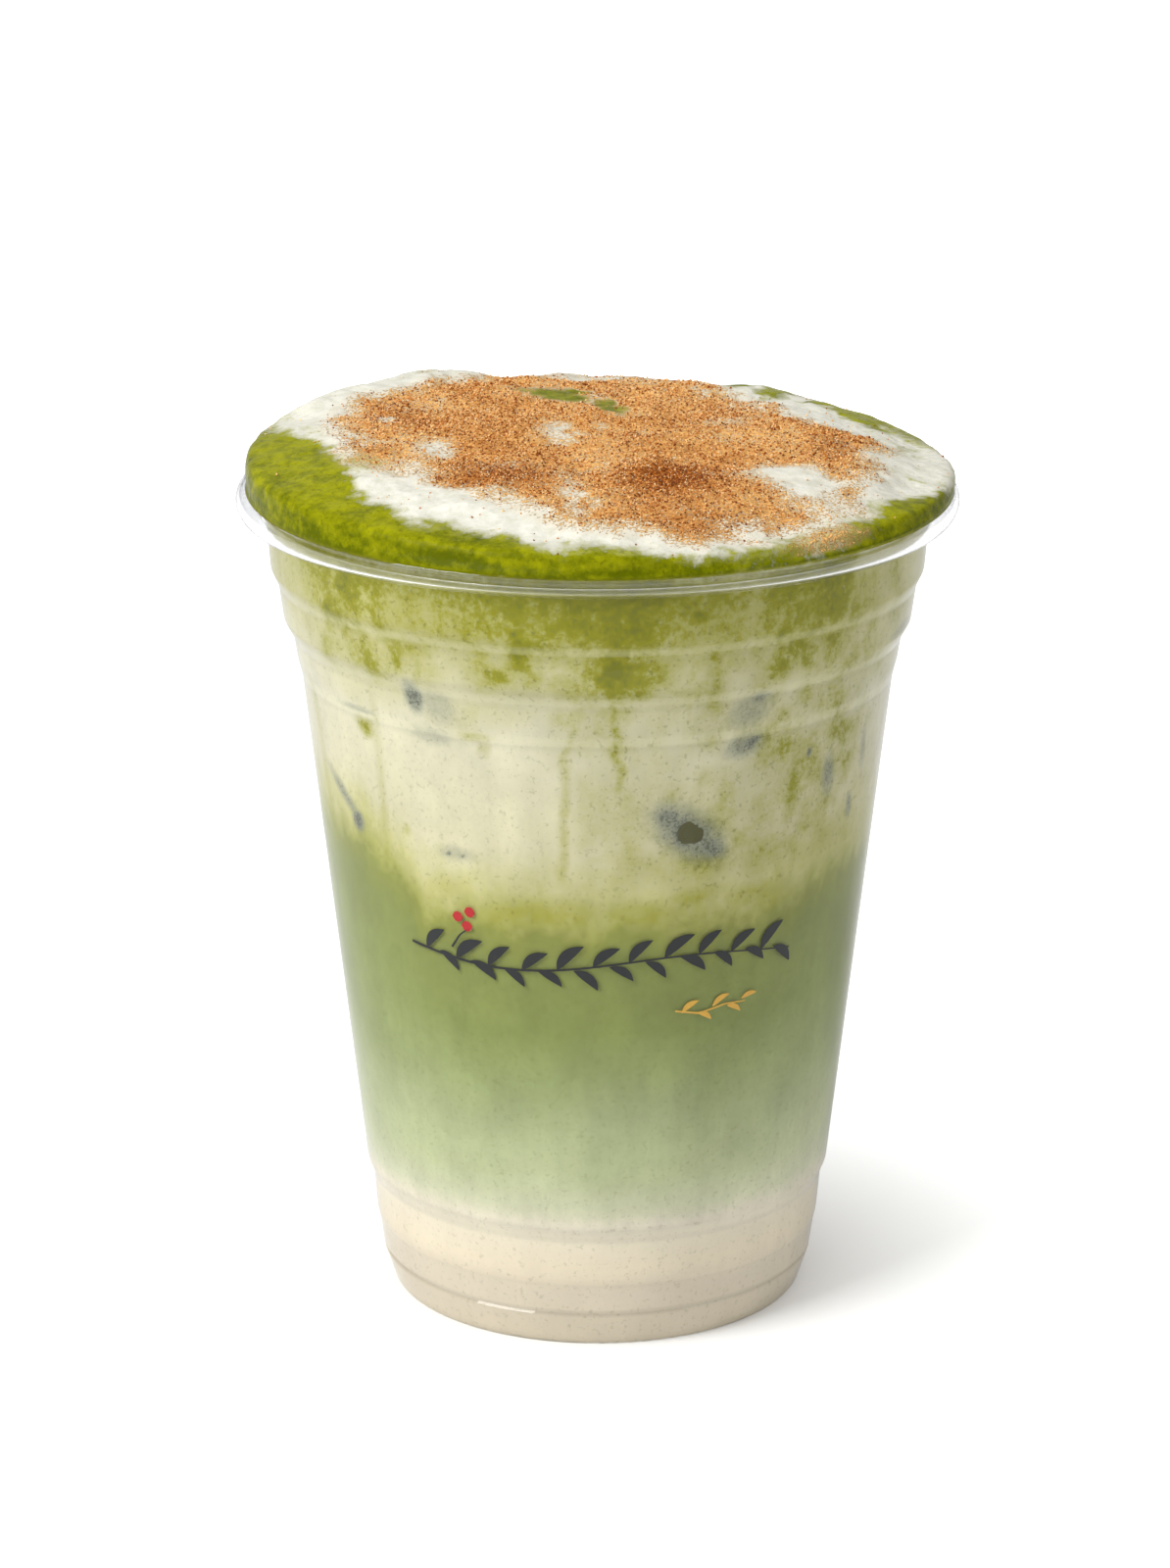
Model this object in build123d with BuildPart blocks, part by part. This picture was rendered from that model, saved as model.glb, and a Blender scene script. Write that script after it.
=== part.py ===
from build123d import *
from math import cos, pi, radians, sin
import os

# A takeaway matcha latte: a thin clear tumbler with a rolled rim, filled with three
# layers of drink and closed by a soft cap of foam that swells over the rim.
# Millimetres, +Z up, origin at the centre of the foot's resting face, front towards -Y.

# Tumbler, overall
cup_height = 114.8
rim_diameter = 98.0
foot_diameter = 57.0
wall = 0.5

# Rolled rim: the wall turns outwards and down into a small open tube
curl_radius = 2.15
curl_turn = 310.0

# Stacking rings under the rim, from the top down: height of the plain band and how far
# it draws in, then height of the sloping shoulder below it and how far that draws in
rings = [
    (9.04, 0.75, 2.20, 1.00),
    (4.80, 0.64, 2.40, 1.28),
    (3.20, 0.50, 2.56, 0.64),
]

# Foot, from the table up: height of each stretch and how far it spreads out
foot_flare = (4.75, 1.55)
foot_groove = [(0.35, -0.22), (0.40, 0.34)]
foot_steps = [(3.40, 0.48), (1.40, 0.34), (5.90, 0.52), (2.00, 0.80)]

# Ring that it stands on, round the raised middle of the floor
foot_ring = 3.0
punt_height = 4.0
punt_draft = 1.2

# Drink: level of each boundary above the table, and the foam's depth below the rim top
milk_level = 18.0
matcha_level = 63.0
foam_depth = 14.8
fill_gap = 0.2

# Foam cap above the rim: it reaches over the rolled rim, nearly to its outside, and
# stands higher on its left
foam_short_of_rim = 1.1
foam_rise = 6.2
foam_lean = 2.0
foam_uneven = 0.35
foam_edge_round = 3.6
lobe_points = 16

# Sizes that follow from these
rim_radius = rim_diameter / 2
curl_centre_r = rim_radius - curl_radius
curl_centre_z = cup_height - curl_radius
neck_radius = curl_centre_r - curl_radius + wall
punt_radius = foot_diameter / 2 - foot_ring
foam_reach = rim_radius - foam_short_of_rim
foam_bottom = cup_height - foam_depth
outline_round = wall + fill_gap + 0.3
over_rim = cup_height + 10


def wall_points():
    """Outside of the tumbler from the foot to above the rim, and the corners to round."""
    r, z = foot_diameter / 2, 0.0
    lower, soft = [(r, z)], [(r, z)]
    for rise, spread in [foot_flare, *foot_groove, *foot_steps]:
        r, z = r + spread, z + rise
        lower.append((r, z))
    soft += lower[-4:]
    r, z = neck_radius, curl_centre_z
    upper = [(neck_radius, over_rim), (neck_radius, curl_centre_z)]
    for band, band_in, shoulder, shoulder_in in rings:
        for drop, draw_in in ((band, band_in), (shoulder, shoulder_in)):
            r, z = r - draw_in, z - drop
            upper.append((r, z))
            soft.append((r, z))
    return lower + upper[::-1], soft


def vessel_section(inset):
    """The whole section through the axis, with its outline moved inwards by inset."""
    side, soft = wall_points()
    punt = [(punt_radius - punt_draft, punt_height), (punt_radius, 0)]
    right = punt + side
    left = [(-r, z) for r, z in reversed(right)]
    soft = soft + punt
    with BuildSketch() as section:
        with BuildLine():
            Polyline(*right, *left, close=True)
        make_face()
        corners = [
            v for v in section.vertices()
            if any(abs(abs(v.X) - r) < 1e-6 and abs(v.Y - z) < 1e-6 for r, z in soft)
        ]
        fillet(corners, radius=outline_round)
        if inset > 0:
            offset(amount=-inset, kind=Kind.INTERSECTION, mode=Mode.REPLACE)
    return section.sketch


def half_between(low, high):
    """Keeps the half of the current section right of the axis between two heights."""
    with Locations((0, low)):
        Rectangle(rim_diameter, high - low, align=(Align.MIN, Align.MIN), mode=Mode.INTERSECT)


# Tumbler: one thin sheet of clear plastic from the raised floor to the rolled rim
with BuildPart() as cup:
    with BuildSketch(Plane.XZ):
        add(vessel_section(0))
        add(vessel_section(wall), mode=Mode.SUBTRACT)
        half_between(0, curl_centre_z)
        with BuildLine():
            outer = CenterArc((curl_centre_r, curl_centre_z), curl_radius, 180, -curl_turn)
            inner = CenterArc((curl_centre_r, curl_centre_z), curl_radius - wall, 180, -curl_turn)
            Line(outer @ 0, inner @ 0)
            Line(outer @ 1, inner @ 1)
        make_face()
    revolve(axis=Axis.Z)
cup.part.label = "cup"

# Drink: sweet milk at the bottom, matcha in the middle, iced cream milk above it
layers = {
    "milk_base": (0, milk_level),
    "matcha_milk": (milk_level, matcha_level),
    "cream_milk": (matcha_level, foam_bottom),
}
drink = []
for name, (low, high) in layers.items():
    with BuildPart() as layer:
        with BuildSketch(Plane.XZ):
            add(vessel_section(wall + fill_gap))
            half_between(low, high)
        revolve(axis=Axis.Z)
    layer.part.label = name
    drink.append(layer.part)


def foam_outline(reach, turn):
    """Closed uneven outline of the foam, its lobes turned a little from level to level."""
    points = []
    for n in range(lobe_points):
        a = 2 * pi * n / lobe_points
        ripple = 0.6 * cos(3 * a + turn) + 0.4 * sin(5 * a - 2 * turn)
        r = reach + foam_uneven * ripple
        points.append((r * cos(a), r * sin(a)))
    with BuildSketch() as outline:
        with BuildLine():
            Spline(*points, periodic=True)
        make_face()
    return outline.sketch


# Levels of the swollen cap: share of the rise, distance in from the reach, and the
# share of the lean, from the face that lies on the rim to the crown
cap_levels = [
    (0.00, 1.5, 0.0),
    (0.24, 0.0, 0.5),
    (0.48, 0.7, 0.8),
    (0.68, foam_edge_round, 1.0),
    (0.84, 2.6 * foam_edge_round, 1.0),
    (0.95, 5.6 * foam_edge_round, 0.7),
    (1.00, 10.0 * foam_edge_round, 0.4),
]

# Foam cap: a plug that fills the neck and a cushion that lies over the rolled rim
with BuildPart() as foam_cap:
    with BuildSketch(Plane.XZ):
        add(vessel_section(wall + fill_gap))
        half_between(foam_bottom, cup_height + fill_gap)
    revolve(axis=Axis.Z)
    for share, inward, lean in cap_levels:
        tilt = radians(foam_lean * lean)
        height = cup_height + fill_gap + share * foam_rise
        level = Plane(origin=(0, 0, height), x_dir=(cos(tilt), 0, -sin(tilt)),
                      z_dir=(sin(tilt), 0, cos(tilt)))
        with BuildSketch(level):
            add(foam_outline(foam_reach - inward, 2 * share))
    loft(ruled=True)
foam_cap.part.label = "foam_cap"

os.makedirs("parts", exist_ok=True)
for piece in [cup.part, *drink, foam_cap.part]:
    export_step(piece, f"parts/{piece.label}.step")
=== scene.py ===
import math

import bmesh
import bpy
import numpy as np
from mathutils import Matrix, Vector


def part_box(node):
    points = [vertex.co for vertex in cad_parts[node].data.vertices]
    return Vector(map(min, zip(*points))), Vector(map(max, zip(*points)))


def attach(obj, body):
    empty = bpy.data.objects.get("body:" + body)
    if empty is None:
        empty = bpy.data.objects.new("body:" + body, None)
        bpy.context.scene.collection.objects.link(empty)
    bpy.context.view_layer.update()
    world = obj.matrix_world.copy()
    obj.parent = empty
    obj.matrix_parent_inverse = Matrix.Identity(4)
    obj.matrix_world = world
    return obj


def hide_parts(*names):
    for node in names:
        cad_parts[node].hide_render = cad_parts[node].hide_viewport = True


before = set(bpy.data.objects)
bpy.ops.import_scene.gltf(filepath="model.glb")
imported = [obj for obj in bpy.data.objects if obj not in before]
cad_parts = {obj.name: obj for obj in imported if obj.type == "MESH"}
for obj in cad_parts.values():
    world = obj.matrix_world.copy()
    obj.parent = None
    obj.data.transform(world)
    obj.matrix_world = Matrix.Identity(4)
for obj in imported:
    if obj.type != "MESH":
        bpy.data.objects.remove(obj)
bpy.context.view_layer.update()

mm = 0.001

# Tumbler: one thin sheet of clear plastic, formed with a rolled rim, three stacking
# rings and a stepped foot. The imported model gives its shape. Forming leaves faint waves
# in the sheet, which stir its gloss a little.
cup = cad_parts["cup"]


def colour(red, green, blue):
    """A colour given in the usual steps from 0 to 255."""
    steps = [value / 255 for value in (red, green, blue)]
    linear = [s / 12.92 if s <= 0.04045 else ((s + 0.055) / 1.055) ** 2.4 for s in steps]
    return (*linear, 1.0)


def new_finish(name):
    """An empty material and its node tree."""
    material = bpy.data.materials.new(name)
    material.use_nodes = True
    material.node_tree.nodes.clear()
    return material, material.node_tree


def place(tree, kind, sockets=None, **options):
    """Adds a shader node, sets its options, and sets or links its sockets."""
    node = tree.nodes.new(kind)
    for option, value in options.items():
        setattr(node, option, value)
    for socket, value in (sockets or {}).items():
        if isinstance(value, bpy.types.NodeSocket):
            tree.links.new(value, node.inputs[socket])
        else:
            node.inputs[socket].default_value = value
    return node


def blend_colours(tree, amount, first, second, kind="MIX"):
    """Mixes two colours by an amount and gives the mixed colour's socket."""
    node = place(tree, "ShaderNodeMix", {0: amount, 6: first, 7: second},
                 data_type="RGBA", blend_type=kind, clamp_factor=True)
    return node.outputs[2]


def reckon(tree, operation, *values):
    """One sum on shader values; gives its socket."""
    node = place(tree, "ShaderNodeMath", dict(enumerate(values)), operation=operation)
    return node.outputs[0]


def rescale(tree, value, low, high, new_low=0.0, new_high=1.0):
    """Moves a value from one range to another, held inside it; gives its socket."""
    node = place(tree, "ShaderNodeMapRange", {"Value": value, "From Min": low, "From Max": high,
                                              "To Min": new_low, "To Max": new_high})
    return node.outputs[0]


def noise(tree, where, scale, detail=2.0, roughness=0.5):
    """Soft random values in space, from 0 to 1; gives their socket."""
    node = place(tree, "ShaderNodeTexNoise", {"Vector": where, "Scale": scale,
                                              "Detail": detail, "Roughness": roughness})
    return node.outputs["Fac"]


def relief(tree, height, strength, depth, under=None):
    """Small bumps from a height, over other bumps if there are any; gives their socket."""
    sockets = {"Height": height, "Strength": strength, "Distance": depth}
    if under is not None:
        sockets["Normal"] = under
    return place(tree, "ShaderNodeBump", sockets).outputs[0]


def place_in(tree):
    """Where a point lies on its own piece; gives the socket."""
    return place(tree, "ShaderNodeTexCoord").outputs["Object"]


def cover(tree, shader):
    """Puts a shader on the surface."""
    place(tree, "ShaderNodeOutputMaterial", {"Surface": shader.outputs[0]})


clear_plastic, tree = new_finish("clear_plastic")
where = place_in(tree)
waves = noise(tree, where, 70.0)
gloss = rescale(tree, waves, 0.0, 1.0, 0.02, 0.09)
ripple = relief(tree, waves, 0.08, 0.3 * mm)
sheet = place(tree, "ShaderNodeBsdfPrincipled",
              {"Base Color": (0.93, 0.935, 0.945, 1.0), "Roughness": gloss,
               "IOR": 1.38, "Transmission Weight": 1.0,
               "Normal": ripple})
passing = place(tree, "ShaderNodeBsdfTransparent", {"Color": (0.97, 0.98, 0.97, 1.0)})
path = place(tree, "ShaderNodeLightPath")
lamp_light = reckon(tree, "MAXIMUM", path.outputs["Is Shadow Ray"], path.outputs["Is Diffuse Ray"])
both = place(tree, "ShaderNodeMixShader",
             {0: lamp_light, 1: sheet.outputs[0], 2: passing.outputs[0]})
cover(tree, both)
cup.data.materials.clear()
cup.data.materials.append(clear_plastic)
for face in cup.data.polygons:
    face.use_smooth = True


# Drink: beige sweet milk at the bottom, sage matcha milk over it and iced cream milk on
# top, poured one on another so that they marble where they meet. Each layer is its own
# piece and reaches just into the plastic, so that it lies wet against the wall.
wall_reach = 0.35 * mm
mean_radius = 40
ramp_height = 115
foot_inside = 27 * mm
neck_height = 112.6 * mm
around = 600
row_step = 0.43 * mm


def section_points(*nodes):
    """Radius and height of every corner of these packed layers, each once."""
    points = set()
    for node in nodes:
        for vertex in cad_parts[node].data.vertices:
            radius = math.hypot(vertex.co.x, vertex.co.y)
            points.add((round(radius, 6), round(vertex.co.z, 6)))
    return np.array(sorted(points))


layer_points = section_points("milk_base", "matcha_milk", "cream_milk", "foam_cap")
is_wall = (layer_points[:, 0] > foot_inside) & (layer_points[:, 1] < neck_height + 0.1 * mm)
is_groove = abs(layer_points[:, 1] - 5.16 * mm) < 0.1 * mm
is_wall &= ~is_groove
wall_heights = np.unique(np.round(layer_points[is_wall, 1], 5))
wall_radii = np.array([
    layer_points[is_wall & (abs(layer_points[:, 1] - height) < 0.02 * mm), 0].max()
    for height in wall_heights
])


def wall_radius(height):
    """Radius of the drink's outside at a height, just inside the plastic."""
    return np.interp(height, wall_heights, wall_radii) + wall_reach


def ease(value, low, high):
    """Soft step from 0 at low to 1 at high."""
    step = np.clip((value - low) / (high - low), 0, 1)
    return step * step * (3 - 2 * step)


def uneven(x, y, z, size, seed):
    """Smooth random lumps of about the given size, between -1 and 1."""
    point = np.stack([x, y, z], -1) / size
    cell = np.floor(point).astype(np.int64)
    part = point - cell
    part = part * part * (3 - 2 * part)
    total = np.zeros(len(point))
    for corner in np.ndindex(2, 2, 2):
        key = (cell + corner) @ np.array([73856093, 19349663, 83492791]) + seed * 7919
        key = (key ^ (key >> 13)) * 1274126177 & 0x7FFFFFFF
        key = (key ^ (key >> 15)) * 668265263 & 0x7FFFFFFF
        value = key / 0x3FFFFFFF - 1
        weight = np.prod(np.where(np.array(corner) == 1, part, 1 - part), axis=1)
        total += value * weight
    return total


def oval(across, up, half_long, half_wide, tilt, softness=0.5):
    """Soft oval mark: 1 in its middle and 0 outside it."""
    turn = math.radians(tilt)
    along = (across * math.cos(turn) + up * math.sin(turn)) / half_long
    over = (up * math.cos(turn) - across * math.sin(turn)) / half_wide
    return 1 - ease(np.hypot(along, over), 1 - softness, 1 + softness)


def wall_mark(angle, height, at_angle, at_height, half_long, half_wide, tilt=0, softness=0.5):
    """An oval mark on the wall; angles in degrees from the front, heights and sizes in mm."""
    turn = (angle - at_angle + 180) % 360 - 180
    across = np.radians(turn) * wall_radius(at_height * mm) / mm
    return oval(across, height - at_height, half_long, half_wide, tilt, softness)


def ring_value(angle, table):
    """Value at each angle from a short table of (degrees from the front, value)."""
    degrees, values = zip(*table)
    return np.interp(angle, degrees, values, period=360)


# How strongly the green that seeps down from the cap stains the wall, round the neck
neck_stain = [
    (-170, 0.5), (-140, 0.75), (-115, 0.4), (-95, 0.5), (-75, 0.4), (-62, 0.45), (-56, 0.72),
    (-45, 0.76), (-38, 0.64), (-26, 0.66), (-17, 0.84), (-8, 0.96), (7, 1.0), (12, 0.85), (17, 0.72),
    (26, 0.62), (30, 0.78), (37, 0.9), (40, 1.02), (46, 0.98), (50, 0.36), (55, 0.1),
    (77, 0.16), (90, 0.3), (110, 0.7), (140, 0.45),
]
# Blotches of green lower down: angle, height, half width, half height, tilt, strength
green_blotches = [
    (-46, 98.5, 5.0, 3.0, 0, 0.5), (-36, 101, 5.0, 2.0, 0, 0.55), (-17, 99.6, 7.6, 2.6, 0, 0.36),
    (4.5, 99.6, 5.6, 3.8, 0, 0.98), (6, 105, 4.0, 4.0, 0, 1.0), (-2, 97.5, 6.5, 2.4, 0, 0.5),
    (16, 99.5, 1.4, 2.6, 0, 0.42), (24, 99.6, 2.4, 2.2, 0, 0.4), (33, 99.0, 1.8, 3.2, 0, 0.62),
    (17, 107, 2.0, 1.2, 20, 1.05), (-47, 108, 3.0, 2.5, -30, 0.95), (40, 99.2, 1.8, 3.2, 0, 0.68),
    (-62, 99.5, 4.0, 2.2, 0, 0.25), (-20, 93, 6.0, 2.0, 0, 0.2),
    (33, 93, 1.2, 3.0, 0, 0.36), (42, 93, 1.6, 3.5, 0, 0.42), (-50, 87.6, 2.0, 1.2, 0, 0.62),
    (-23.5, 89.3, 2.0, 0.7, 0, 0.42), (-22, 87.5, 0.8, 1.2, 0, 0.3), (-41, 74.2, 0.8, 0.8, 0, 0.3),
    (-12, 65, 7.0, 1.8, 5, 0.42), (10, 65, 4.0, 1.6, 0, 0.45), (-33, 67, 4.0, 1.8, 20, 0.25),
    (20, 67, 4.0, 1.4, 10, 0.4), (34, 66, 4.0, 1.6, -10, 0.42), (2, 79, 4.5, 8.0, 0, 0.26),
    (3.5, 88.5, 2.6, 1.6, 0, 0.34), (-5, 93, 2.4, 1.6, 0, 0.34), (3.4, 93.5, 2.8, 1.6, 0, 0.42),
    (60, 92, 5.0, 5.0, 0, 0.15), (52, 80, 2.2, 4.5, 0, 0.34), (57, 72, 1.2, 3.0, 0, 0.3),
    (115, 99, 5.0, 3.0, 0, 0.9), (160, 98, 6.0, 2.6, 0, 0.6), (-150, 99, 5.0, 3.0, 0, 0.95),
    (-120, 98, 4.0, 2.4, 0, 0.5), (-105, 88, 2.6, 0.9, 0, 0.6), (135, 86, 3.0, 1.2, 0, 0.5),
    (180, 68, 6.0, 2.0, 0, 0.4), (95, 76, 3.5, 6.0, 0, 0.2),
]
# Drips: the line they run down as (angle, height), half width and strength
green_drips = [
    ([(-3, 95), (-4.4, 91), (-6.4, 87.5), (-6.0, 82), (-6.6, 76), (-7, 70)], 0.95, 0.34),
    ([(3, 98), (2.6, 93), (3.6, 90), (3.0, 87.5), (4.6, 85.5), (3.8, 82)], 1.0, 0.52),
    ([(42.5, 102), (42, 90), (42.4, 84), (40, 76), (39, 67)], 1.3, 0.32),
    ([(33, 100), (32, 93), (33.5, 88)], 1.0, 0.32), ([(16, 103), (16.4, 93)], 0.8, 0.36),
    ([(-47, 99), (-46.5, 88), (-47.5, 69)], 1.0, 0.2), ([(-71, 91), (-69, 68)], 1.5, 0.24),
    ([(-33, 103), (-33.5, 96)], 0.9, 0.4), ([(60, 98), (61, 84)], 1.3, 0.26),
    ([(112, 98), (113, 86), (111, 74)], 1.3, 0.34), ([(118, 99), (118.5, 90)], 1.0, 0.4),
    ([(158, 97), (160, 84), (159, 72)], 1.0, 0.32), ([(-150, 98), (-149, 86), (-151, 78)], 1.0, 0.44),
    ([(-128, 97), (-127, 80), (-129, 69)], 1.2, 0.3), ([(-95, 96), (-96, 84)], 1.0, 0.3),
]
# How much olive tinge the cream milk has round the wall
cream_tint = [
    (-180, 0.12), (-120, 0.06), (-60, 0.02), (-20, 0.03), (-8, 0.08), (0, 0.17), (12, 0.26),
    (22, 0.36), (32, 0.34), (42, 0.42), (52, 0.4), (66, 0.24), (80, 0.12), (110, 0.12), (150, 0.16),
]
# Where the cream milk ends and the matcha milk begins, round the wall
matcha_line = [
    (-170, 66), (-150, 63), (-130, 68), (-110, 66), (-90, 70), (-55, 70.5), (-50, 68.4),
    (-43, 67), (-38, 62.5), (-20, 62.8), (-5, 62.6), (5, 63.5), (12, 62.8), (30, 62.5), (44, 64),
    (55, 66), (75, 66.5), (100, 64), (120, 67), (150, 62),
]
# Blue-grey melt that shows through the cream round the ice
melt_blotches = [
    (18, 76, 5.4, 3.0, -35, 1.0), (18.2, 76, 2.6, 2.0, -30, 1.15),
    (14.0, 78.2, 2.6, 1.9, -40, 1.0), (22.4, 73.9, 2.6, 1.6, -30, 1.06),
    (-35.6, 93.8, 1.5, 2.1, 10, 1.15), (-31.0, 93.2, 3.2, 2.2, -20, 0.5), (-33, 88.6, 2.8, 1.4, -5, 0.5),
    (29, 92.6, 3.2, 2.2, 20, 0.6), (30.5, 94.3, 1.8, 0.8, 10, 0.85), (28.5, 87.6, 2.8, 1.6, 12, 0.8),
    (30.0, 88.0, 1.6, 0.7, 20, 1.1), (-61, 76.0, 4.8, 1.0, -35, 0.8), (-56.4, 73.0, 1.3, 1.4, 10, 1.25),
    (-29.3, 72.2, 2.8, 1.1, 0, 0.5), (-31, 72, 0.5, 0.4, 0, 1.1), (-27.6, 72.0, 0.45, 0.35, 0, 1.0),
    (51, 80.5, 1.3, 2.8, 8, 0.8), (44.5, 84.6, 0.45, 0.6, 0, 1.2), (60.5, 74.5, 0.8, 1.8, 10, 0.8),
    (64, 82, 0.9, 3.2, 8, 0.55), (72, 97.5, 4.0, 0.8, 5, 0.6), (-52, 89.7, 4.0, 0.4, 0, 0.7),
    (112, 83, 4.6, 2.4, 25, 1.0), (150, 91, 3.2, 2.0, -20, 1.0), (-165, 79, 5.2, 2.4, 32, 1.0),
    (-120, 91, 2.8, 2.0, 0, 1.0), (-138, 73, 4.6, 0.9, -20, 0.9),
]
# Windows where the ice touches the plastic: angle, height, half width, half height, tilt
ice_windows = [
    (18.2, 76, 1.5, 1.2, -30), (112, 83, 1.7, 1.3, 25),
    (150, 91, 1.3, 1.2, -20), (-165, 79, 1.8, 1.4, 32), (-120, 91, 1.2, 1.2, 0),
]


def stains(angle, height):
    """Green, melt and warped depth on the wall at each angle (degrees) and height (mm)."""
    turn = np.radians(angle)
    x, y = mean_radius * np.sin(turn), -mean_radius * np.cos(turn)
    streaks = uneven(x, y, height / 3, 2.0, 3)
    clouds = uneven(x, y, height, 4.5, 4)
    patches = uneven(x, y, height, 2.4, 8)
    small = uneven(x, y, height, 1.0, 5)
    edge = 102.4 + 1.2 * streaks + 1.4 * clouds
    green = ring_value(angle, neck_stain) * ease(height, edge - 3.0, edge + 2.4)
    green = green * (0.74 + 0.26 * ease(height, 107, 111))
    splash = 0.27 * ease(height, 93.4, 98.5) + 0.1 * ease(height, 87, 92)
    splash = splash * (1 - 0.7 * ease(abs(angle), 55, 64) * (1 - ease(abs(angle), 95, 110)))
    green = np.maximum(green, splash * (1 + 0.7 * clouds + 0.7 * patches))
    cream = ease(height, 66, 72) * ring_value(angle, cream_tint)
    green = np.maximum(green, cream * (1 + 0.5 * clouds + 0.4 * patches))
    for at_angle, at_height, wide, tall, tilt, strength in green_blotches:
        stir = min(1.0, tall / 2.5)
        mark = wall_mark(angle + stir * (1.6 * patches + 0.8 * small),
                         height + stir * (0.9 * patches + 0.7 * small),
                         at_angle, at_height, wide, tall, tilt, 0.9)
        green = np.maximum(green, strength * mark)
    green = green * (1 + 0.12 * streaks + 0.16 * patches + 0.1 * clouds)
    for line, half_width, strength in green_drips:
        angles, heights = zip(*line)
        centre = np.interp(-height, [-h for h in heights], angles)
        wander = 0.2 * patches + 0.15 * small
        aside = np.radians((angle - centre + 180) % 360 - 180)
        gap = (aside * mean_radius + wander) / half_width
        ends = ease(height, heights[-1] - 2.0, heights[-1] + 1.0)
        ends = ends * (1 - ease(height, heights[0] - 1, heights[0] + 1))
        drip = strength * np.exp(-gap * gap) * ends * (1 + 0.15 * patches)
        green = np.maximum(green, drip)
    melt = np.zeros(len(angle))
    for at_angle, at_height, wide, tall, tilt, strength in melt_blotches:
        mark = wall_mark(angle, height, at_angle, at_height, wide, tall, tilt, 0.75)
        melt = np.maximum(melt, strength * mark)
    rise = ring_value(angle, matcha_line) - 63
    near = ease(height, 40, 60) * (1 - ease(height, 76, 92))
    depth = height - near * (rise + 1.1 * streaks + 1.0 * small * near)
    depth = depth + 1.6 * uneven(x, y, height, 9.0, 6) * (1 - near) * ease(height, 20, 30)
    return np.clip(green, 0, 1.2), melt, depth


def window_depth(angle, height):
    """How far the drink stands back from the plastic where the ice touches it."""
    turn = np.radians(angle)
    depth = np.zeros(len(angle))
    for at_angle, at_height, wide, tall, tilt in ice_windows:
        stir = min(1.0, tall) * uneven(mean_radius * np.sin(turn), mean_radius * np.cos(turn),
                                        height, 1.0, 9)
        mark = wall_mark(angle + 0.4 * stir, height + 0.3 * stir, at_angle, at_height,
                         wide, tall, tilt, 0.3)
        depth = np.maximum(depth, mark)
    return 1.3 * mm * depth


def new_piece(name, points, faces, marks, finish):
    """A smooth mesh piece with named values on its vertices and one finish."""
    mesh = bpy.data.meshes.new(name)
    mesh.from_pydata(points.tolist(), [], faces)
    for mark, values in marks.items():
        layer = mesh.attributes.new(mark, "FLOAT", "POINT")
        layer.data.foreach_set("value", np.asarray(values, np.float32))
    mesh.polygons.foreach_set("use_smooth", [len(face) == 4 for face in faces])
    mesh.materials.append(finish)
    piece = bpy.data.objects.new(name, mesh)
    bpy.context.scene.collection.objects.link(piece)
    return piece


def band_faces(start, rows, count):
    """Four-sided faces between rings of vertices that follow one another."""
    faces = []
    for row in range(rows - 1):
        low = start + row * count
        for n in range(count):
            after = (n + 1) % count
            faces.append((low + n, low + after, low + count + after, low + count + n))
    return faces


def fill_layer(name, low_line, low, high, finish):
    """One layer of the drink: a lower face, the side against the wall and a level top."""
    side = wall_heights[(wall_heights > low + 0.1 * mm) & (wall_heights < high - 0.1 * mm)]
    side = np.unique([low, *side, high])
    line = [*low_line, *zip(wall_radius(side), side)]
    line = np.array(line)
    run = np.concatenate([[0], np.cumsum(np.hypot(*np.diff(line, axis=0).T))])
    steps = np.linspace(0, run[-1], max(3, round(run[-1] / row_step)))
    steps = np.unique([*steps, 0.02 * mm, run[-1] - 0.02 * mm])
    radius, height = np.interp(steps, run, line[:, 0]), np.interp(steps, run, line[:, 1])
    angle = np.linspace(-180, 180, around, endpoint=False)
    angles = np.tile(angle, len(steps))
    heights = np.repeat(height, around)
    radii = np.repeat(radius, around)
    green, melt, depth = stains(angles, heights / mm)
    radii = radii - window_depth(angles, heights / mm) * (radii > foot_inside)
    turn = np.radians(angles)
    ring = np.stack([radii * np.sin(turn), -radii * np.cos(turn), heights], -1)
    points = np.concatenate([ring, [[0, 0, height[0]], [0, 0, height[-1]]]])
    faces = band_faces(0, len(steps), around)
    bottom, top, last = len(ring), len(ring) + 1, (len(steps) - 1) * around
    for n in range(around):
        after = (n + 1) % around
        faces.append((bottom, after, n))
        faces.append((top, last + n, last + after))
    marks = {"green": np.append(green, [0, 0]), "melt": np.append(melt, [0, 0]),
             "depth": np.append(depth, [height[0] / mm, height[-1] / mm])}
    piece = new_piece(name, points, faces, marks, finish)
    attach(piece, "root")
    return piece


# Colours of the layered drink from the foot to the neck, by height in mm
drink_colours = [
    (2, colour(220, 207, 184)), (8.5, colour(220, 207, 186)), (12, colour(232, 218, 192)),
    (18.6, colour(230, 221, 200)), (21, colour(208, 209, 176)), (26, colour(186, 193, 149)),
    (34, colour(166, 175, 127)), (41, colour(146, 157, 99)), (48, colour(131, 142, 75)),
    (57, colour(129, 138, 68)), (61.5, colour(136, 141, 62)), (63.5, colour(160, 160, 82)),
    (67.5, colour(191, 187, 126)), (74, colour(211, 205, 170)), (90, colour(214, 209, 180)),
    (104, colour(200, 195, 146)),
]
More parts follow.
